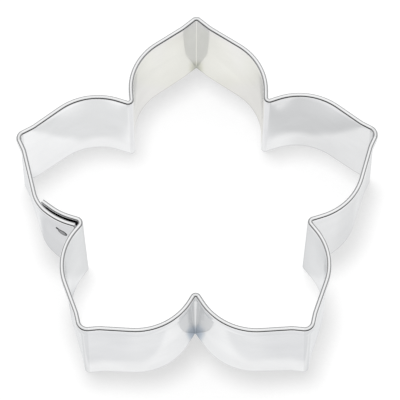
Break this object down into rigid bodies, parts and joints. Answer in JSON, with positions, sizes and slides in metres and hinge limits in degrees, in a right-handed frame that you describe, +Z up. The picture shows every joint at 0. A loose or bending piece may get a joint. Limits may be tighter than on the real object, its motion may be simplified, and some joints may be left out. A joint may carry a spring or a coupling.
{
  "type": "flower pastry cutter",
  "caption": "Open flower-shaped pastry cutter: a bent tinplate strip with pointed petals, a folded upper hem, a plain cutting edge and a spot-welded lap seam.",
  "frame": {"origin": "middle of the outline's box, on the surface that the cutting edge stands on", "axes": "+Z up out of the cutting edge towards the folded hem; +Y along the petal that has no petal opposite it; +X to the right seen from above, so the lap seam is on the -X side"},
  "size_m": [0.0888, 0.0848, 0.0254],
  "materials": {
    "tinplate": "bright tin-plated steel, smooth, faintly mottled",
    "weld": "dull grey spot weld"
  },
  "bodies": {
    "root": {"cutter_band": "tinplate", "upper_spot_weld": "weld", "lower_spot_weld": "weld"}
  },
  "joints": []
}
